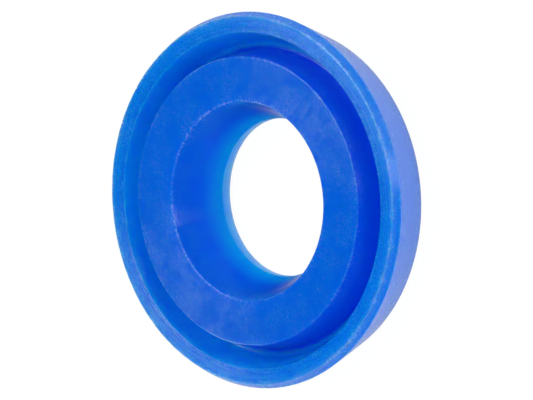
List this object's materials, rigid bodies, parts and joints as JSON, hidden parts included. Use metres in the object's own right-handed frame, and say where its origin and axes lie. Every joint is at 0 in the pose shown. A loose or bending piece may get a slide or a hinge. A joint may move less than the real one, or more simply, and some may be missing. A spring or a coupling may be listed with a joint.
{
  "type": "u cup seal",
  "caption": "Ring-shaped cup seal with a flared outer lip, a narrow tapered groove, a thick flat-faced core and a conical through bore; it seals a piston in a cylinder.",
  "frame": {"origin": "centre of the heel face, on the ring's axis", "axes": "+Z along the ring's axis, from the flat heel towards the open groove and lip"},
  "size_m": [0.052, 0.052, 0.0102],
  "materials": {
    "polyurethane": "satin translucent blue elastomer, turned faces slightly hazy"
  },
  "bodies": {
    "root": {"u_cup": "polyurethane"}
  },
  "joints": []
}
